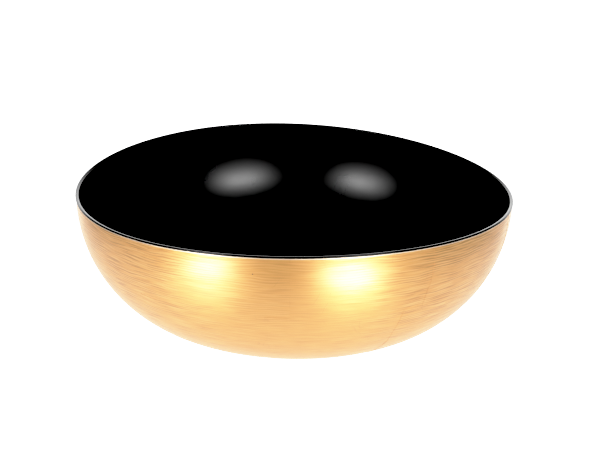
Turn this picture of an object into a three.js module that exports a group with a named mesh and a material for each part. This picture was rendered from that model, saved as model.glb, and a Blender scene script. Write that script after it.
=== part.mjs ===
// A turned wooden bowl: gloss black lacquer inside and over the lip, gold leaf over a black ground outside.
// Millimetres, +Z up, origin at the middle of the foot's resting face.
// Every piece is turned about the Z axis. A section is drawn with the radius as x and the height as y,
// and an angle round the bowl counts from the front (-Y) towards +X.
import * as THREE from "three";
import { mergeGeometries, mergeVertices } from "three/addons/utils/BufferGeometryUtils.js";

const { degToRad } = THREE.MathUtils;

// Overall size
const RIM_RADIUS = 125; // outside of the lip
const RIM_HEIGHT = 79.5; // top of the lip as it was turned
const RIM_LIFT = 2.5; // drying wood lifted and dropped the rim by this much, twice round
const RIM_HIGH_ANGLE = degToRad(13.5); // one of the rim's two high points

// Thin layers, drawn thicker than real ones, and the room between two pieces that touch
const COAT = 0.25; // black lacquer
const GROUND = 0.15; // black ground under the leaf
const LEAF = 0.15; // gold leaf
const GAP = 0.15;

// Lip: a small bead of wood under black lacquer, which stands a little proud of the leaf
const LIP_WIDTH = 2;
const LIP_CREST = 0.6; // the bead is highest this far in from its outside
const LIP_ROUND = 0.6; // height of its rounded top
const LIP_DEPTH = 0.85; // from the top of the lip down to the edge of its black coat
const LIP_PROUD = 0.3;

// Outside of the wall: a quarter ellipse, level at the belly's flat radius and upright at the lip
const BELLY_FLAT_RADIUS = 57.5;
const BELLY_BASE_HEIGHT = 1.5;
const BELLY_TOP_HEIGHT = RIM_HEIGHT - LIP_DEPTH - GAP; // upper edge of the leaf
const COURSE_ANGLE = degToRad(63); // where the lower course of leaf meets the upper one, up the ellipse

// Inside of the wall: a quarter ellipse that rises from the bowl's level floor
const FLOOR_FLAT_RADIUS = 60;
const FLOOR_HEIGHT = 8;

// Foot: a low ring left under the bowl, coated black
const FOOT_RADIUS = 54;
const FOOT_INNER_RADIUS = 47;
const FOOT_RECESS = 1.2; // depth of the hollow inside the ring
const FOOT_SLOPE = 1; // the hollow's edge narrows by this much on its way up

// Gold leaf: squares laid side by side in two courses
const LEAVES_ROUND = 10;
const UPPER_LEAF_START = degToRad(0);
const LOWER_LEAF_START = degToRad(-6);

// Fineness of the faceted surfaces
const SEGMENTS_ROUND = 60;
const LOWER_COURSE_STEPS = 5;
const UPPER_COURSE_STEPS = 2;
const INSIDE_STEPS = 7;
const LIP_STEPS = 3; // up to the crest, and as many down the other side

const point = (radius, height) => new THREE.Vector2(radius, height);

// Points of a quarter ellipse about (flatRadius, RIM_HEIGHT). A rise of 0 is its level end and a right
// angle its upright end at the lip.
function wallArc(flatRadius, across, down, fromRise, toRise, steps) {
  const level = -Math.PI / 2;
  return new THREE.EllipseCurve(
    flatRadius, RIM_HEIGHT, across, down, level + fromRise, level + toRise,
  ).getPoints(steps);
}

// The two courses of leaf up the outside of the wall, from rise to rise, with a gap where they meet.
const BELLY_DOWN = RIM_HEIGHT - BELLY_BASE_HEIGHT;
const COURSE_GAP = GAP / 2 / BELLY_DOWN;
const lowerCourse = { fromRise: 0, toRise: COURSE_ANGLE - COURSE_GAP, steps: LOWER_COURSE_STEPS };
const upperCourse = {
  fromRise: COURSE_ANGLE + COURSE_GAP,
  toRise: riseTo(BELLY_TOP_HEIGHT, BELLY_DOWN),
  steps: UPPER_COURSE_STEPS,
};

// How far a wall has risen up its quarter ellipse at a height. `down` is the ellipse's upright half axis.
function riseTo(height, down) {
  return Math.PI / 2 - Math.asin((RIM_HEIGHT - height) / down);
}

// One course of the outside of the wall, `inset` millimetres under the face of the leaf, upwards.
function bellyArc(inset, course) {
  const across = RIM_RADIUS - LIP_PROUD - BELLY_FLAT_RADIUS - inset;
  const down = BELLY_DOWN - inset;
  return wallArc(BELLY_FLAT_RADIUS, across, down, course.fromRise, course.toRise, course.steps);
}

// The whole outside of the wall.
function bellyLine(inset) {
  return [...bellyArc(inset, lowerCourse), ...bellyArc(inset, upperCourse)];
}

// The inside of the wall, `inset` millimetres behind the face of the black lacquer, from the floor upwards.
function insideArc(inset) {
  const across = RIM_RADIUS - LIP_WIDTH - FLOOR_FLAT_RADIUS + inset;
  const down = RIM_HEIGHT - FLOOR_HEIGHT;
  const topRise = riseTo(BELLY_TOP_HEIGHT, down);
  return wallArc(FLOOR_FLAT_RADIUS, across, down + inset, 0, topRise, INSIDE_STEPS);
}

// The rounded top of the lip, `inset` millimetres under its face, from outside to inside: a short quarter
// ellipse up to the crest and a long one down from it, with a straight skirt to `skirtHeight` on each side.
function lipArc(inset, skirtHeight) {
  const crest = RIM_RADIUS - LIP_CREST;
  const outward = LIP_CREST - inset;
  const inward = LIP_WIDTH - LIP_CREST - inset;
  const quarter = (across, fromAngle, toAngle) => new THREE.EllipseCurve(
    crest, RIM_HEIGHT - LIP_ROUND, across, LIP_ROUND - inset, fromAngle, toAngle,
  ).getPoints(LIP_STEPS);
  return [
    point(crest + outward, skirtHeight),
    ...quarter(outward, 0, Math.PI / 2),
    ...quarter(inward, Math.PI / 2, Math.PI).slice(1),
    point(crest - inward, skirtHeight),
  ];
}

// The underside of the foot, `inset` millimetres inside its black coat, from the axis outwards.
function footLine(inset, topHeight) {
  const edge = FOOT_INNER_RADIUS + inset / 2;
  return [
    point(0, FOOT_RECESS + inset),
    point(edge - FOOT_SLOPE, FOOT_RECESS + inset),
    point(edge, inset),
    point(FOOT_RADIUS - inset, inset),
    point(FOOT_RADIUS - inset, topHeight),
  ];
}

function woodSection() {
  const underLeaf = LEAF + GAP + GROUND + GAP;
  const underCoat = COAT + GAP;
  const beadHeight = RIM_HEIGHT - LIP_DEPTH;
  const belly = bellyLine(underLeaf);
  const lip = lipArc(underCoat, beadHeight);
  return [
    ...footLine(underCoat, belly[0].y),
    ...belly,
    point(belly.at(-1).x, beadHeight),
    ...lip.slice(0, -1),
    ...insideArc(underCoat).reverse(),
    point(0, FLOOR_HEIGHT - underCoat),
  ];
}

function insideCoatSection() {
  return [
    point(0, FLOOR_HEIGHT - COAT),
    ...insideArc(COAT),
    ...insideArc(0).reverse(),
    point(0, FLOOR_HEIGHT),
  ];
}

function lipCoatSection() {
  const edgeHeight = RIM_HEIGHT - LIP_DEPTH;
  return skinSection(lipArc(0, edgeHeight), lipArc(COAT, edgeHeight));
}

function footCoatSection() {
  const topHeight = BELLY_BASE_HEIGHT + LEAF + GAP + GROUND;
  return [...footLine(0, topHeight), ...footLine(COAT, topHeight).reverse()];
}

// A closed section from the outer and the inner line of a skin, both drawn the same way.
function skinSection(outerLine, innerLine) {
  const section = [...outerLine, ...innerLine.reverse()];
  return [...section, section[0].clone()];
}

// The ground covers the whole outside of the wall and, like the lower leaves, runs in to the foot.
function toFoot(line) {
  return [point(FOOT_RADIUS + 2 * GAP, line[0].y), ...line];
}

function groundSection() {
  const face = LEAF + GAP;
  return skinSection(toFoot(bellyLine(face)), toFoot(bellyLine(face + GROUND)));
}

function lowerLeafSection() {
  return skinSection(toFoot(bellyArc(0, lowerCourse)), toFoot(bellyArc(LEAF, lowerCourse)));
}

function upperLeafSection() {
  return skinSection(bellyArc(0, upperCourse), bellyArc(LEAF, upperCourse));
}

// The rim of a bowl turned from seasoned wood goes a little saddle-shaped, more the higher up the wall.
function warp(geometry) {
  const place = geometry.getAttribute("position");
  for (let i = 0; i < place.count; i += 1) {
    const angle = Math.atan2(place.getX(i), -place.getY(i));
    const height = place.getZ(i);
    const lift = RIM_LIFT * (height / RIM_HEIGHT) ** 2 * Math.cos(2 * (angle - RIM_HIGH_ANGLE));
    place.setZ(i, height + lift);
  }
  return geometry;
}

// Lathe and shape geometries stand along +Y, so each solid is stood up along +Z and then warped.
function finish(parts) {
  for (const part of parts) {
    part.deleteAttribute("normal");
    part.deleteAttribute("uv");
  }
  const solid = mergeVertices(mergeGeometries(parts), 1e-4);
  solid.rotateX(Math.PI / 2);
  warp(solid);
  solid.computeVertexNormals();
  return solid;
}

// A section turned all the way round.
function turned(section) {
  return finish([new THREE.LatheGeometry(section, SEGMENTS_ROUND)]);
}

// The flat end of a part-turned solid. A far end faces the other way from a near one.
function endFace(section, angle, isFar) {
  const face = new THREE.ShapeGeometry(new THREE.Shape(section.slice(0, -1)));
  face.rotateY(angle - Math.PI / 2);
  if (isFar) {
    face.setIndex(Array.from(face.index.array).reverse());
  }
  return face;
}

// A section turned from one angle to another, with a flat face at each end.
function turnedPiece(section, fromAngle, toAngle) {
  const steps = SEGMENTS_ROUND / LEAVES_ROUND;
  return finish([
    new THREE.LatheGeometry(section, steps, fromAngle, toAngle - fromAngle),
    endFace(section, fromAngle, false),
    endFace(section, toAngle, true),
  ]);
}

const black = new THREE.MeshStandardMaterial({ color: 0x050505, roughness: 0.12, metalness: 0 });
const wood = new THREE.MeshStandardMaterial({ color: 0xc79f6b, roughness: 0.7, metalness: 0 });
const ground = new THREE.MeshStandardMaterial({ color: 0x14100d, roughness: 0.4, metalness: 0 });
const gold = new THREE.MeshStandardMaterial({ color: 0xe0b26a, roughness: 0.3, metalness: 1 });

function piece(name, geometry, material) {
  const mesh = new THREE.Mesh(geometry, material.clone());
  mesh.name = name;
  return mesh;
}

// One course of leaf: squares side by side, a gap apart where they meet.
function leafCourse(name, section, startAngle) {
  const span = (2 * Math.PI) / LEAVES_ROUND;
  const halfGap = GAP / 2 / section[0].x;
  const leaves = new THREE.Group();
  for (let i = 0; i < LEAVES_ROUND; i += 1) {
    const from = startAngle + i * span;
    const solid = turnedPiece(section, from + halfGap, from + span - halfGap);
    leaves.add(piece(`${name}_${String(i + 1).padStart(2, "0")}`, solid, gold));
  }
  return leaves;
}

const bowl = new THREE.Group();
bowl.add(piece("wood_core", turned(woodSection()), wood));
bowl.add(piece("inside_lacquer", turned(insideCoatSection()), black));
bowl.add(piece("lip_lacquer", turned(lipCoatSection()), black));
bowl.add(piece("foot_lacquer", turned(footCoatSection()), black));
bowl.add(piece("leaf_ground", turned(groundSection()), ground));
bowl.add(leafCourse("lower_leaf", lowerLeafSection(), LOWER_LEAF_START));
bowl.add(leafCourse("upper_leaf", upperLeafSection(), UPPER_LEAF_START));

export default bowl;
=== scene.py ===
"""A turned wooden bowl: gloss black lacquer inside and over the lip, gold leaf outside, in a white studio.

Metres, +Z up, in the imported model's frame. Every layer of the bowl is a closed mesh bent by the same slight
warp as the CAD model: the coats and the wood are turned about the Z axis, and each leaf is a thin sheet on
that turned face. Angles round the bowl count from the front (-Y) to +X.
"""
import math

import bpy
import numpy as np
from mathutils import Euler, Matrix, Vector


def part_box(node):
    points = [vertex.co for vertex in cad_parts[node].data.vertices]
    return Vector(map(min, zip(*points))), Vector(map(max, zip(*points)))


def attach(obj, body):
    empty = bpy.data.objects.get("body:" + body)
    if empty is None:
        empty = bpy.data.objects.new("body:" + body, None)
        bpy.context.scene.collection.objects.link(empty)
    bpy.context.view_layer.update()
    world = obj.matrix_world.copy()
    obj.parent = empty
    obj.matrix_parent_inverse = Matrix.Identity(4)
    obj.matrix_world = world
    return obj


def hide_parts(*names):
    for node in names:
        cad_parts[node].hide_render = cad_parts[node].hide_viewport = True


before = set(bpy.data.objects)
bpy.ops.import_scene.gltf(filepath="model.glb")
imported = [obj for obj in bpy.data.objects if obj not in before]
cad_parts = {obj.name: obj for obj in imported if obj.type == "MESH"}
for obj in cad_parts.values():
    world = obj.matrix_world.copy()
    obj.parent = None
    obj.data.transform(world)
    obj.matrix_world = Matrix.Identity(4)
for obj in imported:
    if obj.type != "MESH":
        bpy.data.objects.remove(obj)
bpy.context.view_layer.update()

MM = 0.001

# The bowl's main sizes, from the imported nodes
LIP_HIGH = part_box("lip_lacquer")[1]
INSIDE_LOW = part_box("inside_lacquer")[0]
FOOT_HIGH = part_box("foot_lacquer")[1]
RIM_RADIUS = LIP_HIGH.x
FOOT_RADIUS = FOOT_HIGH.x

# Sizes that the boxes don't give, as the CAD source has them
RIM_HEIGHT = 79.5 * MM
RIM_LIFT = LIP_HIGH.z - RIM_HEIGHT
RIM_HIGH_ANGLE = math.radians(13.5)
COAT = 0.25 * MM
LEAF = 0.15 * MM
GROUND = 0.15 * MM
GAP = 0.15 * MM
LIP_WIDTH = 2 * MM
LIP_CREST = 0.6 * MM
LIP_ROUND = 0.6 * MM
LIP_DEPTH = 0.85 * MM
LIP_PROUD = 0.3 * MM
BELLY_FLAT_RADIUS = 57.5 * MM
BELLY_BASE = 1.5 * MM
FLOOR_FLAT_RADIUS = 60 * MM
FLOOR_HEIGHT = INSIDE_LOW.z + COAT
FOOT_INNER_RADIUS = 47 * MM
FOOT_RECESS = 1.2 * MM
FOOT_SLOPE = 1 * MM
COURSE_RISE = math.radians(63)
LEAVES_ROUND = 10
LOWER_LEAF_START = math.radians(-6)
UPPER_LEAF_START = 0.0

# How fine the shown meshes are
SEGMENTS_ROUND = 240
ARC_STEPS = 48
LIP_STEPS = 8
SHARP_CORNER = math.radians(45)
LEAF_COLUMN = 2.5 * MM
LEAF_ROW = 0.42 * MM
FEWEST_STEPS = 8
NEARLY_ZERO = 1e-9

# How the leaf was laid
LEAF_OVERLAP = 2.5 * MM
LEAF_SHEET = 0.07 * MM
LEAF_STEP = 0.08 * MM  # a leaf lies this much higher at its left edge than at its right one
LEAF_RAGGED = 0.7 * MM
TEAR_LENGTH = 9 * MM
TEAR_FINE_LENGTH = 1.6 * MM
TEAR_FINE_SHARE = 0.4
LOWER_LEAF_RAGGED = (0.2, 1)  # share of the tearing at a leaf's lower edge and at its upper one
UPPER_LEAF_RAGGED = (1, 0)

# Waves in the leaf's face: the hand-turned wood under it, and the lines of the brush
HAND_WAVE = 34 * MM
HAND_DEPTH = 0.07 * MM
BRUSH_LINE = 1.6 * MM
BRUSH_DEPTH = 0.03 * MM
BRUSH_LINE_LENGTH = 16 * BRUSH_LINE
BRUSH_SWAY_LENGTH = 11 * BRUSH_LINE
BRUSH_SWAY_HEIGHT = 6 * BRUSH_LINE

# Which noise each of these takes
HAND_SEED = 7
BRUSH_SWAY_SEED = 11
BRUSH_LINE_SEED = 3
LOW_TEAR, HIGH_TEAR, LEFT_TEAR, RIGHT_TEAR = 31, 41, 51, 61
LEAF_SEED_STEP = 100
UPPER_COURSE_SEED = 1000

# The map on a leaf is in decimetres; its patterns are in millimetres
UV_PER_METRE = 10
MM_PER_UV = 100.0
MM_PER_METRE = 1000.0


# ---------------------------------------------------------------- seeded noise

HASH_FACTORS = (374761393, 668265263, 144269504)
HASH_SPREAD = 1274126177
HASH_BITS = 0xFFFFFFFF
SHARE_BITS = 0xFFFF


def lattice(i, j, seed):
    """A repeatable number from -1 to 1 for each whole-numbered place."""
    by_i, by_j, by_seed = HASH_FACTORS
    h = (i * by_i + j * by_j + seed * by_seed) & HASH_BITS
    h = ((h ^ (h >> 13)) * HASH_SPREAD) & HASH_BITS
    return ((h ^ (h >> 16)) & SHARE_BITS) / (SHARE_BITS / 2) - 1.0


def noise(x, y, seed):
    """Smooth noise from -1 to 1 over the plane, with features one unit apart."""
    i, j = np.floor(x).astype(np.int64), np.floor(y).astype(np.int64)
    fx, fy = x - i, y - j
    fx, fy = fx * fx * (3 - 2 * fx), fy * fy * (3 - 2 * fy)
    low = lattice(i, j, seed) * (1 - fx) + lattice(i + 1, j, seed) * fx
    high = lattice(i, j + 1, seed) * (1 - fx) + lattice(i + 1, j + 1, seed) * fx
    return low * (1 - fy) + high * fy


# ---------------------------------------------------------------- outlines, as (radius, height) rows

def wall_arc(flat_radius, across, down, to_rise):
    """A quarter ellipse, level at rise 0 and upright at a right angle, as far up as the rise given."""
    rise = np.linspace(0, to_rise, ARC_STEPS + 1)
    return np.column_stack([flat_radius + across * np.sin(rise), RIM_HEIGHT - down * np.cos(rise)])


def rise_to(height, down):
    """The rise at which a quarter ellipse that hangs down from the rim is at a height."""
    return math.pi / 2 - math.asin((RIM_HEIGHT - height) / down)


def belly_line(inset, top=RIM_HEIGHT - LIP_DEPTH - GAP):
    """The outside of the wall, under the leaf's face by inset, from the foot to the top height."""
    down = RIM_HEIGHT - BELLY_BASE
    across = RIM_RADIUS - LIP_PROUD - BELLY_FLAT_RADIUS
    arc = wall_arc(BELLY_FLAT_RADIUS, across - inset, down - inset, rise_to(top, down))
    return np.vstack([[FOOT_RADIUS + 2 * GAP, arc[0, 1]], arc])


def inside_line(inset, top=RIM_HEIGHT - LIP_DEPTH - GAP):
    """The inside of the wall, behind the lacquer's face by inset, from the floor to the top height."""
    down = RIM_HEIGHT - FLOOR_HEIGHT
    across = RIM_RADIUS - LIP_WIDTH - FLOOR_FLAT_RADIUS
    return wall_arc(FLOOR_FLAT_RADIUS, across + inset, down + inset, rise_to(top, down))


def lip_line(inset, skirt_height):
    """The rounded lip from outside to inside, highest near its outside, with a skirt down each side."""
    crest = RIM_RADIUS - LIP_CREST
    outward, inward = LIP_CREST - inset, LIP_WIDTH - LIP_CREST - inset
    turn = np.linspace(0, math.pi, 2 * LIP_STEPS + 1)
    across = np.where(turn < math.pi / 2, outward, inward)
    arc = np.column_stack([crest + across * np.cos(turn),
                           RIM_HEIGHT - LIP_ROUND + (LIP_ROUND - inset) * np.sin(turn)])
    return np.vstack([[crest + outward, skirt_height], arc, [crest - inward, skirt_height]])


def foot_line(inset, top_height):
    """The underside of the foot, inside its coat by inset, from the axis outwards."""
    edge = FOOT_INNER_RADIUS + inset / 2
    return np.array([
        [0, FOOT_RECESS + inset],
        [edge - FOOT_SLOPE, FOOT_RECESS + inset],
        [edge, inset],
        [FOOT_RADIUS - inset, inset],
        [FOOT_RADIUS - inset, top_height],
    ])


# ---------------------------------------------------------------- meshes

def warped(points):
    """The CAD model's saddle-shaped rim: heights rise and fall twice round, more the higher up."""
    angle = np.arctan2(points[:, 0], -points[:, 1])
    share = (points[:, 2] / RIM_HEIGHT) ** 2
    moved = points.copy()
    moved[:, 2] += RIM_LIFT * share * np.cos(2 * (angle - RIM_HIGH_ANGLE))
    return moved


def new_piece(name, points, faces, material, slot, *nodes):
    """A shown piece on the bowl's one body, standing for its CAD nodes."""
    mesh = bpy.data.meshes.new(name)
    mesh.from_pydata(warped(points).tolist(), [], faces)
    mesh.validate()
    mesh.shade_smooth()
    mesh.set_sharp_from_angle(angle=SHARP_CORNER)
    mesh.materials.append(material)
    piece = bpy.data.objects.new(name, mesh)
    bpy.context.scene.collection.objects.link(piece)
    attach(piece, "root")
    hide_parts(*nodes)
    return piece


def turned(section):
    """Points and faces of a section turned all the way round. It ends on the axis or closes on itself."""
    on_axis = section[0][0] < NEARLY_ZERO
    body = section[1:-1] if on_axis else section
    rows = len(body)
    angle = np.linspace(0, 2 * math.pi, SEGMENTS_ROUND, endpoint=False)
    rings = [np.column_stack([r * np.sin(angle), -r * np.cos(angle), np.full(len(angle), z)])
             for r, z in body]
    points = np.vstack(rings)
    faces = []
    for j in range(rows - 1 if on_axis else rows):
        ring = j * SEGMENTS_ROUND
        up = ((j + 1) % rows - j) * SEGMENTS_ROUND
        for i in range(SEGMENTS_ROUND):
            a = ring + i
            b = ring + (i + 1) % SEGMENTS_ROUND
            faces.append((a, b, b + up, a + up))
    if on_axis:
        first, last = len(points), len(points) + 1
        points = np.vstack([points, [0, 0, section[0][1]], [0, 0, section[-1][1]]])
        top = (rows - 1) * SEGMENTS_ROUND
        for i in range(SEGMENTS_ROUND):
            k = (i + 1) % SEGMENTS_ROUND
            faces.append((first, k, i))
            faces.append((last, top + i, top + k))
    return points, faces


def inside_lacquer(material):
    """The black film on the inside, closed on the axis."""
    edge = RIM_HEIGHT - LIP_DEPTH
    back, face = inside_line(COAT, edge), inside_line(0, edge)
    section = np.vstack([[0, back[0, 1]], back, face[::-1], [0, face[0, 1]]])
    return new_piece("inside_film", *turned(section), material, "black_lacquer", "inside_lacquer")


def lip_lacquer(material):
    """The black film over the rounded lip."""
    edge = RIM_HEIGHT - LIP_DEPTH
    section = np.vstack([lip_line(0, edge), lip_line(COAT, edge)[::-1]])
    return new_piece("lip_film", *turned(section), material, "black_lacquer", "lip_lacquer")


def foot_lacquer(material):
    """The black film under and round the foot."""
    top = BELLY_BASE + LEAF + GAP + GROUND
    section = np.vstack([foot_line(0, top), foot_line(COAT, top)[::-1]])
    return new_piece("foot_film", *turned(section), material, "black_lacquer", "foot_lacquer")


def leaf_ground(material):
    """The black ground that the leaf lies on."""
    face = LEAF + GAP
    section = np.vstack([belly_line(face), belly_line(face + GROUND)[::-1]])
    return new_piece("ground_coat", *turned(section), material, "black_ground", "leaf_ground")


def wood_core(material):
    """The wooden bowl under all the layers."""
    under_leaf, under_coat = LEAF + GAP + GROUND + GAP, COAT + GAP
    bead = RIM_HEIGHT - LIP_DEPTH
    belly = belly_line(under_leaf)[1:]
    lip = lip_line(under_coat, bead)[:-1]
    section = np.vstack([
        foot_line(under_coat, belly[0, 1]), belly, [belly[-1, 0], bead], lip,
        inside_line(under_coat)[::-1], [0, FLOOR_HEIGHT - under_coat],
    ])
    return new_piece("turned_core", *turned(section), material, "turned_wood", "wood_core")


# ---------------------------------------------------------------- gold leaf

class Belly:
    """The face of the leaf as a table of distance up the wall, from the foot's edge to the lip."""

    line = belly_line(0, RIM_HEIGHT - LIP_DEPTH + GAP)
    steps = np.linalg.norm(np.diff(line, axis=0), axis=1)
    up = np.concatenate([[0], np.cumsum(steps)])
    slope = np.gradient(line, up, axis=0)
    course_up = float(np.interp(
        RIM_HEIGHT - (RIM_HEIGHT - BELLY_BASE) * math.cos(COURSE_RISE), line[:, 1], up))

    @classmethod
    def at(cls, up, height):
        """Radius and height of points that far up the wall and that far out of its face."""
        r, z = (np.interp(up, cls.up, cls.line[:, k]) for k in (0, 1))
        tr, tz = (np.interp(up, cls.up, cls.slope[:, k]) for k in (0, 1))
        return r + height * tz, z - height * tr


def leaf_heights(up, around):
    """How far the leaf's face stands out: the hand-turned waves under it and the lines of the brush."""
    hand = noise(around / HAND_WAVE, up / HAND_WAVE, HAND_SEED) * HAND_DEPTH
    sway = noise(around / BRUSH_SWAY_LENGTH, up / BRUSH_SWAY_HEIGHT, BRUSH_SWAY_SEED) * BRUSH_LINE
    line = noise(around / BRUSH_LINE_LENGTH, 2 * (up + sway) / BRUSH_LINE, BRUSH_LINE_SEED)
    return hand + line * BRUSH_DEPTH


def torn_edge(place, seed):
    """How far a torn edge strays to either side, at each place along it."""
    still = np.zeros_like(place)
    fine = noise(place / TEAR_FINE_LENGTH, still, seed + 1)
    rough = noise(place / TEAR_LENGTH, still, seed) + TEAR_FINE_SHARE * fine
    return rough * LEAF_RAGGED


def leaf_sheet(name, node, material, from_angle, to_angle, from_up, to_up, ragged, seed):
    """One leaf: a thin closed sheet with torn edges that laps over the leaf on its left."""
    rows = max(FEWEST_STEPS, round((to_up - from_up) / LEAF_ROW))
    columns = max(FEWEST_STEPS, round((to_angle - from_angle) * RIM_RADIUS / LEAF_COLUMN))
    across, along = np.meshgrid(np.linspace(0, 1, columns + 1), np.linspace(0, 1, rows + 1))
    cut_up = from_up + (to_up - from_up) * along
    cut_around = (from_angle + (to_angle - from_angle) * across) * RIM_RADIUS
    radius = Belly.at(cut_up, 0)[0]

    low = from_up + ragged[0] * torn_edge(cut_around, seed + LOW_TEAR)
    high = to_up + ragged[1] * torn_edge(cut_around, seed + HIGH_TEAR)
    up = low + (high - low) * along
    left = from_angle + (torn_edge(cut_up, seed + LEFT_TEAR) - LEAF_OVERLAP / 2) / radius
    right = to_angle + (torn_edge(cut_up, seed + RIGHT_TEAR) + LEAF_OVERLAP / 2) / radius
    angle = left + (right - left) * across
    around = angle * RIM_RADIUS

    face = leaf_heights(up, around) + LEAF_STEP * (1 - across) - LEAF_STEP / 2
    points = []
    for height in (face, face - LEAF_SHEET):
        r, z = Belly.at(up, height)
        points.append(np.column_stack([
            (r * np.sin(angle)).ravel(), (-r * np.cos(angle)).ravel(), z.ravel()]))
    piece = new_piece(name, np.vstack(points), sheet_faces(rows, columns), material, "gold_leaf", node)
    store_sheet_places(piece, up, around, across, along, from_up, to_up)
    return piece


def sheet_faces(rows, columns):
    """Faces of a two-sided grid: the outer side, the inner side, and the edge between them."""
    stride, inner = columns + 1, (rows + 1) * (columns + 1)
    faces = []
    for j in range(rows):
        for i in range(columns):
            a = j * stride + i
            faces.append((a, a + 1, a + 1 + stride, a + stride))
            faces.append((a + inner, a + stride + inner, a + 1 + stride + inner, a + 1 + inner))
    border = (list(range(columns))
              + [columns + j * stride for j in range(rows)]
              + [rows * stride + i for i in range(columns, 0, -1)]
              + [j * stride for j in range(rows, 0, -1)])
    for a, b in zip(border, border[1:] + border[:1]):
        faces.append((a, a + inner, b + inner, b))
    return faces


def store_sheet_places(piece, up, around, across, along, from_up, to_up):
    """A UV map in decimetres, up and round the wall, and each point's distance from the leaf's edge."""
    mesh = piece.data
    place = np.tile(np.column_stack([up.ravel(), around.ravel()]) * UV_PER_METRE, (2, 1))
    corner = np.zeros(len(mesh.loops), np.int32)
    mesh.loops.foreach_get("vertex_index", corner)
    layer = mesh.uv_layers.new(name="sheet")
    layer.data.foreach_set("uv", place.astype(np.float32)[corner].ravel())
    width, height = float(np.ptp(around[0])), to_up - from_up
    edge = np.minimum(np.minimum(across, 1 - across) * width, np.minimum(along, 1 - along) * height)
    stored = mesh.attributes.new("edge", "FLOAT", "POINT")
    stored.data.foreach_set("value", np.tile(edge.ravel(), 2).astype(np.float32))


def gold_leaves(make_material):
    """Both courses of leaf, from the front both ways to the back. The upper course laps over the lower."""
    span = 2 * math.pi / LEAVES_ROUND
    lap = LEAF_OVERLAP / 2
    middle, top = Belly.course_up, Belly.up[-1]
    for i in range(LEAVES_ROUND):
        turn = (i if i < LEAVES_ROUND / 2 else i - LEAVES_ROUND) * span
        for course, course_seed, start, low, high, ragged in (
            ("lower", 0, LOWER_LEAF_START, 0.0, middle + lap, LOWER_LEAF_RAGGED),
            ("upper", UPPER_COURSE_SEED, UPPER_LEAF_START, middle - lap, top, UPPER_LEAF_RAGGED),
        ):
            number = f"{course}_leaf_{i + 1:02d}"
            seed = LEAF_SEED_STEP * (i + 1) + course_seed
            leaf_sheet(f"gold_{number}", number, make_material(number, seed), start + turn,
                       start + turn + span, low, high, ragged, seed)


# ---------------------------------------------------------------- node trees

class Nodes:
    """Short forms for building a material's node tree."""

    def __init__(self, name):
        self.material = bpy.data.materials.new(name)
        self.material.use_nodes = True
        self.tree = self.material.node_tree
        self.shader = self.tree.nodes["Principled BSDF"]

    def add(self, kind, **settings):
        node = self.tree.nodes.new("ShaderNode" + kind)
        for key, value in settings.items():
            setattr(node, key, value)
        return node

    def put(self, value, socket):
        if isinstance(value, bpy.types.NodeSocket):
            self.tree.links.new(value, socket)
        else:
            socket.default_value = value

    def math(self, operation, a, b=0.0):
        node = self.add("Math", operation=operation)
        self.put(a, node.inputs[0])
        self.put(b, node.inputs[1])
        return node.outputs[0]

    def plus(self, a, b):
        return self.math("ADD", a, b)

    def times(self, a, b):
        return self.math("MULTIPLY", a, b)

    def ramp(self, value, low, high, to_low=0.0, to_high=1.0):
        """The value taken smoothly from the low-high range to the to_low-to_high range."""
        node = self.add("MapRange", interpolation_type="SMOOTHSTEP")
        for item, socket in zip((value, low, high, to_low, to_high), node.inputs):
            self.put(item, socket)
        return node.outputs[0]

    def mix(self, factor, a, b):
        """A colour between two colours, through the Mix node's sockets for colours."""
        node = self.add("Mix", data_type="RGBA")
        self.put(factor, node.inputs[0])
        self.put(a, node.inputs[6])
        self.put(b, node.inputs[7])
        return node.outputs[2]

    def vector(self, x, y, z=0.0):
        node = self.add("CombineXYZ")
        for value, socket in zip((x, y, z), node.inputs):
            self.put(value, socket)
        return node.outputs[0]

    def split(self, vector):
        """The X, Y and Z of a place."""
        node = self.add("SeparateXYZ")
        self.put(vector, node.inputs[0])
        return node.outputs

    def noise(self, vector, scale=1.0, detail=1.0):
        node = self.add("TexNoise")
        self.put(vector, node.inputs["Vector"])
        self.put(scale, node.inputs["Scale"])
        self.put(detail, node.inputs["Detail"])
        return node.outputs[0]

    def cells(self, vector, scale):
        """The distance to the nearest of many scattered points."""
        node = self.add("TexVoronoi")
        self.put(vector, node.inputs["Vector"])
        self.put(scale, node.inputs["Scale"])
        return node.outputs["Distance"]

    def bump(self, height, distance):
        node = self.add("Bump")
        self.put(distance, node.inputs["Distance"])
        self.put(height, node.inputs["Height"])
        return node.outputs[0]

    def object_place(self):
        return self.add("TexCoord").outputs["Object"]

    def set(self, **values):
        for name, value in values.items():
            self.put(value, self.shader.inputs[name.replace("_", " ")])


# ---------------------------------------------------------------- gold leaf's material

# In these patterns a pitch counts the features of a noise in a millimetre, round the bowl and up the wall,
# and a scale counts them alike both ways. A range is the stretch of a noise's values, or of a distance,
# over which a mark comes up.

GOLD_WARM = (0.75, 0.417, 0.14, 1)
GOLD_COOL = (0.79, 0.456, 0.16, 1)
GOLD_TINT = (1, 0.85, 0.65, 1)
GOLD_ROUGHNESS = (0.47, 0.51)
GOLD_ANISOTROPY = 0.4
GOLD_RELIEF = 0.1 * MM
VARNISH_WEIGHT = 0.9
VARNISH_ROUGHNESS = 0.25
VARNISH_IOR = 1.6

PATCH_SCALE = 0.05
PATCH_DETAIL = 3.0
PATCH_RANGE = (0.3, 0.7)
COOL_SHARE = (0.35, 0.65)
LEAF_TONE = 0.2  # how far one leaf may be warmer or cooler than the next
ROUGH_RANGE = (0.5, 1.0)
PATCH_IN_ROUGHNESS = 0.5

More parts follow.
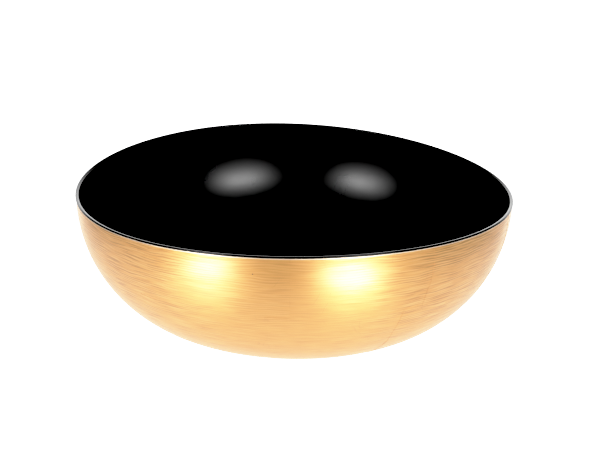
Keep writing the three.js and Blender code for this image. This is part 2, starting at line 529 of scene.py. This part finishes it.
SWAY_PITCH = (0.04, 0.07)
SWAY_MM = 3.0
STROKE_PITCH = (0.05, 1.5)
BRISTLE_BEND_MM = 0.5
BRISTLE_TURN = 4.6  # radians of a bristle's wave in a millimetre
FIRM_PITCH = (0.03, 0.12)
FIRM_RANGE = (0.35, 0.65)
BRISTLE_STRENGTH = (0.02, 0.16)
HAIR_PITCH = (0.08, 3.2)
HAIR_DETAIL = 2.0
PRESS_RANGE = (0.01, 0.085)  # metres to the left or right of the bowl's middle
PRESS_STRENGTH = (0.4, 1.15)

# Painted shade: the grooves of the brush lines are darkened in the colour
GROOVE_RANGE = (0.54, 0.64)
GROOVE_SHADE_SHOWS = 0.5
GROOVE_PAINTED_SHADE = (0.42, 0.22, 0.075, 1)
# Painted highlight: the ridges of the brush lines are lightened in the colour
RIDGE_RANGE = (0.46, 0.36)
RIDGE_HIGHLIGHT_SHOWS = 0.35
RIDGE_PAINTED_HIGHLIGHT = (0.95, 0.66, 0.32, 1)
HAIR_RANGE = (0.4, 0.7)
HAIR_SHOWS = 0.2
HAIR_BROWN = (0.5, 0.27, 0.09, 1)
HAIR_HEIGHT = 0.2

FOLD_SCALE = 0.07
FOLD_STRETCH = 0.7
FOLD_LEVEL = 0.5  # the noise's value along a fold
FOLD_WIDTH = 0.008  # and how near to it the fold fades out
FOLD_PLACES_SCALE = 0.09
FOLD_PLACES_RANGE = (0.55, 0.65)
FOLD_HEIGHT = 0.2
SEAM_MM = 0.5
SEAM_PLACES_SCALE = 0.12
SEAM_PLACES_DETAIL = 2.0
SEAM_PLACES_RANGE = (0.45, 0.65)
SEAM_HEIGHT = 0.15
# One brown for painted shade along the folds and for a rubbed line at the seams
FOLD_SHADE_AND_SEAM_WEAR_SHOWS = 0.15
FOLD_SHADE_AND_SEAM_WEAR = (0.3, 0.16, 0.06, 1)

PIT_SCALE = 0.16
PIT_PLACES_SCALE = 0.2
PIT_PLACES_RANGE = (0.6, 0.78)
LARGEST_PIT = 0.07
PIT_BLACK = (0.03, 0.02, 0.015, 1)

TOP_EDGE_HIGHLIGHT_MM = (1.0, 0.6)  # below the lip: where the painted highlight starts, and where it is at full strength
TOP_EDGE_HIGHLIGHT_SHOWS = 0.8
TOP_EDGE_PAINTED_HIGHLIGHT = (0.95, 0.85, 0.72, 1)

# Each leaf takes its patterns from another depth of the noise, and what comes and goes from its own depth
LEAF_DEPTHS = 50
FOLD_PLACES_DEPTH, PIT_PLACES_DEPTH, SEAM_PLACES_DEPTH = 3, 5, 8


def sheet_place(n):
    """Millimetres round the bowl and up the wall on a leaf, and millimetres in from its edge."""
    up, around, _ = n.split(n.add("UVMap", uv_map="sheet").outputs[0])
    edge = n.add("Attribute", attribute_name="edge").outputs["Fac"]
    return n.times(around, MM_PER_UV), n.times(up, MM_PER_UV), n.times(edge, MM_PER_METRE)


def pitched(n, around, up, pitch, depth=0.0):
    """A place on the leaf for a noise that is stretched round the bowl."""
    return n.vector(n.times(around, pitch[0]), n.times(up, pitch[1]), depth)


def brush_marks(n, around, up, depth):
    """The brush's strokes round the bowl, which sway on their way, and the fine hairs among them."""
    sway = n.noise(pitched(n, around, up, SWAY_PITCH))
    swayed = n.plus(up, n.times(sway, SWAY_MM))
    loose = n.noise(pitched(n, around, swayed, STROKE_PITCH))
    bent = n.plus(swayed, n.times(loose, BRISTLE_BEND_MM))
    bristle = n.math("SINE", n.times(bent, BRISTLE_TURN))
    firm = n.ramp(n.noise(pitched(n, around, up, FIRM_PITCH, depth)), *FIRM_RANGE, *BRISTLE_STRENGTH)
    strokes = n.plus(loose, n.times(bristle, firm))
    hairs = n.noise(pitched(n, around, swayed, HAIR_PITCH), detail=HAIR_DETAIL)
    return strokes, hairs


def brush_press(n):
    """How plain the brush marks are: faint at the bowl's front and back, and firm at its sides."""
    aside = n.math("ABSOLUTE", n.split(n.object_place())[0])
    return n.ramp(aside, *PRESS_RANGE, *PRESS_STRENGTH)


def creases(n, around, up, depth):
    """Fine folds that follow the level lines of a broad noise, and show only here and there."""
    folds = n.noise(n.vector(around, n.times(up, FOLD_STRETCH), depth), FOLD_SCALE)
    places = n.noise(n.vector(around, up, depth + FOLD_PLACES_DEPTH), FOLD_PLACES_SCALE)
    line = n.ramp(n.math("ABSOLUTE", n.math("SUBTRACT", folds, FOLD_LEVEL)), 0.0, FOLD_WIDTH, 1.0, 0.0)
    return n.times(line, n.ramp(places, *FOLD_PLACES_RANGE))


def worn_seam(n, around, up, edge, depth):
    """A thin rubbed line along stretches of the leaf's edge."""
    places = n.noise(n.vector(around, up, depth + SEAM_PLACES_DEPTH), SEAM_PLACES_SCALE, SEAM_PLACES_DETAIL)
    return n.times(n.ramp(edge, 0.0, SEAM_MM, 1.0, 0.0), n.ramp(places, *SEAM_PLACES_RANGE))


def pinholes(n, around, up, depth):
    """Small round holes in the leaf, in clusters."""
    places = n.noise(n.vector(around, up, depth + PIT_PLACES_DEPTH), PIT_PLACES_SCALE)
    size = n.ramp(places, *PIT_PLACES_RANGE, 0.0, LARGEST_PIT)
    return n.math("LESS_THAN", n.cells(n.vector(around, up, depth), PIT_SCALE), size)


def painted_highlight_top_edge(n, up):
    """A painted highlight along the upper edge of the leaf, beside the lip."""
    top = float(Belly.up[-1]) / MM
    start, full = TOP_EDGE_HIGHLIGHT_MM
    return n.ramp(up, top - start, top - full, 0.0, TOP_EDGE_HIGHLIGHT_SHOWS)


def gold_material(name, seed):
    """Imitation gold leaf under clear varnish: brushed lines, creases, pinholes and worn seams. Painted shade
    darkens the brush grooves and the folds, and painted highlights lighten the brush ridges and the leaf's
    top edge.
    """
    n = Nodes(name)
    rng = np.random.default_rng(seed)
    tone, depth = LEAF_TONE * rng.uniform(-1, 1), float(rng.uniform(0, LEAF_DEPTHS))
    around, up, edge = sheet_place(n)
    strokes, hairs = brush_marks(n, around, up, depth)
    press = brush_press(n)
    patches = n.noise(n.vector(around, up, depth), PATCH_SCALE, PATCH_DETAIL)
    crease = creases(n, around, up, depth)
    seam = worn_seam(n, around, up, edge, depth)
    pit = pinholes(n, around, up, depth)

    cool = n.ramp(patches, *PATCH_RANGE, COOL_SHARE[0] + tone, COOL_SHARE[1] + tone)
    colour = n.mix(cool, GOLD_WARM, GOLD_COOL)
    for shows, paint in (
        # painted shade in the brush grooves
        (n.times(n.times(n.ramp(strokes, *GROOVE_RANGE), press), GROOVE_SHADE_SHOWS), GROOVE_PAINTED_SHADE),
        # painted highlight on the brush ridges
        (n.times(n.times(n.ramp(strokes, *RIDGE_RANGE), press), RIDGE_HIGHLIGHT_SHOWS), RIDGE_PAINTED_HIGHLIGHT),
        (n.ramp(hairs, *HAIR_RANGE, 0.0, HAIR_SHOWS), HAIR_BROWN),
        # painted shade along the folds, and rubbed seams
        (n.times(n.math("MAXIMUM", crease, seam), FOLD_SHADE_AND_SEAM_WEAR_SHOWS), FOLD_SHADE_AND_SEAM_WEAR),
        (pit, PIT_BLACK),
        # a painted highlight along the leaf's top edge
        (painted_highlight_top_edge(n, up), TOP_EDGE_PAINTED_HIGHLIGHT),
    ):
        colour = n.mix(shows, colour, paint)

    mottled = n.plus(strokes, n.times(patches, PATCH_IN_ROUGHNESS))
    brushed = n.times(n.plus(strokes, n.times(hairs, HAIR_HEIGHT)), press)
    creased = n.plus(brushed, n.times(crease, FOLD_HEIGHT))
    height = n.plus(creased, n.times(n.ramp(edge, 0.0, SEAM_MM), SEAM_HEIGHT))
    tangent = n.add("Tangent", direction_type="UV_MAP", uv_map="sheet").outputs[0]
    n.set(Base_Color=colour, Roughness=n.ramp(mottled, *ROUGH_RANGE, *GOLD_ROUGHNESS),
          Metallic=n.math("SUBTRACT", 1.0, pit), Anisotropic=GOLD_ANISOTROPY, Specular_Tint=GOLD_TINT,
          Tangent=tangent, Normal=n.bump(height, GOLD_RELIEF), Coat_Weight=VARNISH_WEIGHT,
          Coat_Roughness=VARNISH_ROUGHNESS, Coat_IOR=VARNISH_IOR)
    return n.material


# ---------------------------------------------------------------- lacquer, ground and wood

# Scales here count the features of a noise in a metre

LACQUER_IOR = 1.3
LACQUER_RELIEF = 0.02 * MM
LACQUER_DEEP = (0.0004, 0.0004, 0.0005, 1)
LACQUER_HAZY = (0.001, 0.0009, 0.0008, 1)
HAZE_SCALE = 28.0
HAZE_DETAIL = 3.0
HAZE_RANGE = (0.3, 0.7)
WAVE_SCALE = 60.0
DUST_SCALE = 170.0
DUST_SIZE = 0.035
DUST_SHOWS = 0.35
DUST_GREY = (0.006, 0.006, 0.006, 1)
INSIDE_ROUGHNESS = (0.27, 0.31)
LIP_ROUGHNESS = (0.1, 0.18)
FOOT_ROUGHNESS = (0.2, 0.35)

GROUND_IOR = 1.5
GROUND_RELIEF = 0.03 * MM
GROUND_DARK = (0.02, 0.014, 0.01, 1)
GROUND_BROWN = (0.05, 0.032, 0.022, 1)
GROUND_SCALE = 240.0
GROUND_DETAIL = 3.0
GROUND_COLOUR_RANGE = (0.35, 0.65)
GROUND_ROUGH_RANGE = (0.3, 0.7)
GROUND_ROUGHNESS = (0.35, 0.55)

WOOD_IOR = 1.5
WOOD_ROUGHNESS = 0.62
WOOD_RELIEF = 0.03 * MM
WOOD_EARLY = (0.62, 0.43, 0.24, 1)
WOOD_LATE = (0.74, 0.56, 0.35, 1)
WOOD_PORE = (0.45, 0.28, 0.14, 1)
GRAIN_STRETCH = 0.15
TREE_MIDDLE = 0.4  # metres from the bowl's axis to the middle of the tree
RING_RATE = 4200.0  # radians of the rings' wave at one metre from there
RING_WANDER = 0.03  # metres that a ring strays
RING_WANDER_SCALE = 25.0
PORE_SCALE = 1400.0
PORE_RANGE = (0.55, 0.75)
PORE_SHOWS = 0.5
WOOD_DETAIL = 2.0


def lacquer_material(name, roughness):
    """Brushed and polished black lacquer: glossy, with a slight haze, faint waves and a little dust."""
    n = Nodes(name)
    place = n.object_place()
    haze = n.noise(place, HAZE_SCALE, HAZE_DETAIL)
    waves = n.noise(place, WAVE_SCALE)
    dust = n.math("LESS_THAN", n.cells(place, DUST_SCALE), DUST_SIZE)
    colour = n.mix(n.ramp(haze, *HAZE_RANGE), LACQUER_DEEP, LACQUER_HAZY)
    colour = n.mix(n.times(dust, DUST_SHOWS), colour, DUST_GREY)
    n.set(Base_Color=colour, Roughness=n.ramp(haze, *HAZE_RANGE, *roughness), IOR=LACQUER_IOR,
          Normal=n.bump(waves, LACQUER_RELIEF))
    return n.material


def ground_material():
    """The dark ground under the leaf, brushed on and rubbed down."""
    n = Nodes("black_ground")
    strokes = n.noise(n.object_place(), GROUND_SCALE, GROUND_DETAIL)
    colour = n.mix(n.ramp(strokes, *GROUND_COLOUR_RANGE), GROUND_DARK, GROUND_BROWN)
    n.set(Base_Color=colour, Roughness=n.ramp(strokes, *GROUND_ROUGH_RANGE, *GROUND_ROUGHNESS),
          IOR=GROUND_IOR, Normal=n.bump(strokes, GROUND_RELIEF))
    return n.material


def wood_material():
    """Pale lime wood, its growth rings cut across by the turning."""
    n = Nodes("turned_wood")
    x, y, z = n.split(n.object_place())
    stretched = n.vector(n.times(x, GRAIN_STRETCH), y, z)
    wander = n.times(n.noise(stretched, RING_WANDER_SCALE, WOOD_DETAIL), RING_WANDER)
    depth = n.plus(n.plus(y, TREE_MIDDLE), wander)
    ring = n.math("SINE", n.times(n.math("POWER", depth, 2.0), RING_RATE))
    pores = n.noise(stretched, PORE_SCALE, WOOD_DETAIL)
    colour = n.mix(n.ramp(ring, -1.0, 1.0), WOOD_EARLY, WOOD_LATE)
    colour = n.mix(n.ramp(pores, *PORE_RANGE, 0.0, PORE_SHOWS), colour, WOOD_PORE)
    n.set(Base_Color=colour, Roughness=WOOD_ROUGHNESS, IOR=WOOD_IOR, Normal=n.bump(pores, WOOD_RELIEF))
    return n.material


# ---------------------------------------------------------------- studio

BOWL_MIDDLE = Vector((0, 0, BELLY_BASE + (RIM_HEIGHT - BELLY_BASE) / 2))
CAMERA_DISTANCE = 0.844
CAMERA_ELEVATION = math.radians(20.25)
CAMERA_ROLL = math.radians(1.3)
CAMERA_AIM = Vector((5.3 * MM, 0, 54.8 * MM))
LENS_MM = 85.8
SENSOR_MM = 36.0

# The print curve, in scene light: what comes out black, what comes out white, and how it eases into white
BLACK_POINT = 0.03
WHITE_POINT = 1.7
PRINT_SHOULDER = ((0.4, 0.4), (0.9, 0.9), (1.05, 0.96), (1.3, 0.985))
PLAIN_WHITE = 1.1 * WHITE_POINT  # light that is surely past the white point

FLOOR_HALF = 6.0
FLOOR_GREY = (0.08, 0.08, 0.08, 1)
FLOOR_ROUGHNESS = 0.13
FLOOR_IOR = 1.5
FLOOR_GLOW_NEAR = 1.1
FLOOR_GLOW_FAR = 0.36
FLOOR_GLOW_RANGE = (0.15, 0.45)  # metres from the bowl's axis
FRONT_START = 0.05  # metres in front of the axis, from where the glow fades towards the camera too
FRONT_FADE = 2.2  # how much faster it fades that way than sideways
FLOOR_POOLS = (  # x, y, radius, glow at the middle
    (-0.136, -0.213, 0.058, 12.5),
    (0.088, -0.22, 0.061, 11.5),
)
POOL_CORE = 0.3  # share of a pool's radius that is evenly bright

BACKDROP_GLOW = 3.0
BACKDROP_SIDES = (0.6, 0.85)  # how nearly straight back a direction has to be
BACKDROP_TOP = (0.3, 0.5)  # how high a direction may point

SOFTBOXES = (  # name, degrees round from the front, degrees up, distance, width, height, radiance
    ("left_softbox", -46, 31, 0.75, 0.37, 0.195, 13.0),
    ("left_lamp", -44, 32.5, 0.74, 0.18, 0.1, 38.0),
    ("right_softbox", 35, 30, 1.5, 0.8, 0.35, 14.5),
    ("right_lamp", 36, 32, 1.49, 0.44, 0.2, 31.0),
)


def floor_distance(n, x, y):
    """The length of a step on the floor."""
    return n.math("SQRT", n.plus(n.times(x, x), n.times(y, y)))


def floor_glow(n, x, y):
    """Light from below round and behind the bowl, and a pool of it in front for each pale patch."""
    front = n.times(n.math("MINIMUM", n.plus(y, FRONT_START), 0.0), FRONT_FADE)
    glow = n.ramp(floor_distance(n, x, front), *FLOOR_GLOW_RANGE, FLOOR_GLOW_NEAR, FLOOR_GLOW_FAR)
    for pool_x, pool_y, radius, strength in FLOOR_POOLS:
        gap = floor_distance(n, n.math("SUBTRACT", x, pool_x), n.math("SUBTRACT", y, pool_y))
        glow = n.plus(glow, n.ramp(gap, POOL_CORE * radius, radius, strength, 0.0))
    return glow


def studio_floor():
    """A glossy floor that glows. Straight to the camera it is plain white, so no pool or shadow shows."""
    mesh = bpy.data.meshes.new("studio_floor")
    h = FLOOR_HALF
    mesh.from_pydata([(-h, -h, 0), (h, -h, 0), (h, h, 0), (-h, h, 0)], [], [(0, 1, 2, 3)])
    n = Nodes("studio_white")
    x, y, _ = n.split(n.object_place())
    seen = n.times(n.add("LightPath").outputs["Is Camera Ray"], PLAIN_WHITE)
    n.set(Base_Color=FLOOR_GREY, Roughness=FLOOR_ROUGHNESS, IOR=FLOOR_IOR, Emission_Color=(1, 1, 1, 1),
          Emission_Strength=n.math("MAXIMUM", floor_glow(n, x, y), seen))
    mesh.materials.append(n.material)
    floor = bpy.data.objects.new("studio_floor", mesh)
    bpy.context.scene.collection.objects.link(floor)


def softbox(name, azimuth, elevation, distance, width, height, radiance):
    """An oblong light that faces the middle of the bowl, and that the camera can't see."""
    a, e = math.radians(azimuth), math.radians(elevation)
    back = Vector((math.sin(a) * math.cos(e), -math.cos(a) * math.cos(e), math.sin(e)))
    lamp = bpy.data.lights.new(name, "AREA")
    lamp.shape = "RECTANGLE"
    lamp.size, lamp.size_y = width, height
    lamp.energy = radiance * math.pi * width * height
    light = bpy.data.objects.new(name, lamp)
    light.location = BOWL_MIDDLE + back * distance
    light.rotation_mode = "QUATERNION"
    light.rotation_quaternion = (-back).to_track_quat("-Z", "Y")
    light.visible_camera = False
    bpy.context.scene.collection.objects.link(light)


def studio_world():
    """A bright backdrop low behind the bowl, and a dark room elsewhere. To the camera it is all white."""
    world = bpy.data.worlds.new("studio")
    world.use_nodes = True
    bpy.context.scene.world = world
    tree = world.node_tree
    place = tree.nodes.new("ShaderNodeTexCoord").outputs["Generated"]
    parts = tree.nodes.new("ShaderNodeSeparateXYZ")
    tree.links.new(place, parts.inputs[0])

    def smooth(value, low, high, to_low, to_high):
        node = tree.nodes.new("ShaderNodeMapRange")
        node.interpolation_type = "SMOOTHSTEP"
        tree.links.new(value, node.inputs[0])
        for number, socket in zip((low, high, to_low, to_high), node.inputs[1:]):
            socket.default_value = number
        return node.outputs[0]

    def combined(operation, a, b):
        node = tree.nodes.new("ShaderNodeMath")
        node.operation = operation
        tree.links.new(a, node.inputs[0])
        tree.links.new(b, node.inputs[1])
        return node.outputs[0]

    low = smooth(parts.outputs[2], *BACKDROP_TOP, 1.0, 0.0)
    behind = smooth(parts.outputs[1], *BACKDROP_SIDES, 0.0, BACKDROP_GLOW)
    camera_ray = tree.nodes.new("ShaderNodeLightPath").outputs["Is Camera Ray"]
    seen = smooth(camera_ray, 0, 1, 0, PLAIN_WHITE)
    glow = combined("MAXIMUM", combined("MULTIPLY", low, behind), seen)
    tree.links.new(glow, tree.nodes["Background"].inputs["Strength"])
    tree.nodes["Background"].inputs["Color"].default_value = (1, 1, 1, 1)


def studio_camera():
    """Looks down at the bowl from in front through a long lens, held very slightly askew."""
    e = CAMERA_ELEVATION
    data = bpy.data.cameras.new("camera")
    data.lens, data.sensor_width = LENS_MM, SENSOR_MM
    camera = bpy.data.objects.new("camera", data)
    camera.location = BOWL_MIDDLE + CAMERA_DISTANCE * Vector((0, -math.cos(e), math.sin(e)))
    camera.rotation_mode = "QUATERNION"
    look = (CAMERA_AIM - camera.location).to_track_quat("-Z", "Y")
    camera.rotation_quaternion = look @ Euler((0, 0, CAMERA_ROLL)).to_quaternion()
    bpy.context.scene.collection.objects.link(camera)
    bpy.context.scene.camera = camera


def studio_exposure():
    """A print curve that clips the deepest blacks and eases the brightest lights into white."""
    view = bpy.context.scene.view_settings
    view.view_transform = "Standard"
    view.use_curve_mapping = True
    curve = view.curve_mapping
    curve.black_level = (BLACK_POINT,) * 3
    curve.clip_max_x = 2 * WHITE_POINT
    all_channels = curve.curves[3]
    all_channels.points[1].location = (WHITE_POINT, 1)
    for light, shown in PRINT_SHOULDER:
        all_channels.points.new(light, shown)
    curve.update()


studio_camera()
inside_lacquer(lacquer_material("inside_black", INSIDE_ROUGHNESS))
lip_lacquer(lacquer_material("lip_black", LIP_ROUGHNESS))
foot_lacquer(lacquer_material("foot_black", FOOT_ROUGHNESS))
leaf_ground(ground_material())
wood_core(wood_material())
gold_leaves(gold_material)
studio_floor()
studio_world()
for box in SOFTBOXES:
    softbox(*box)
studio_exposure()
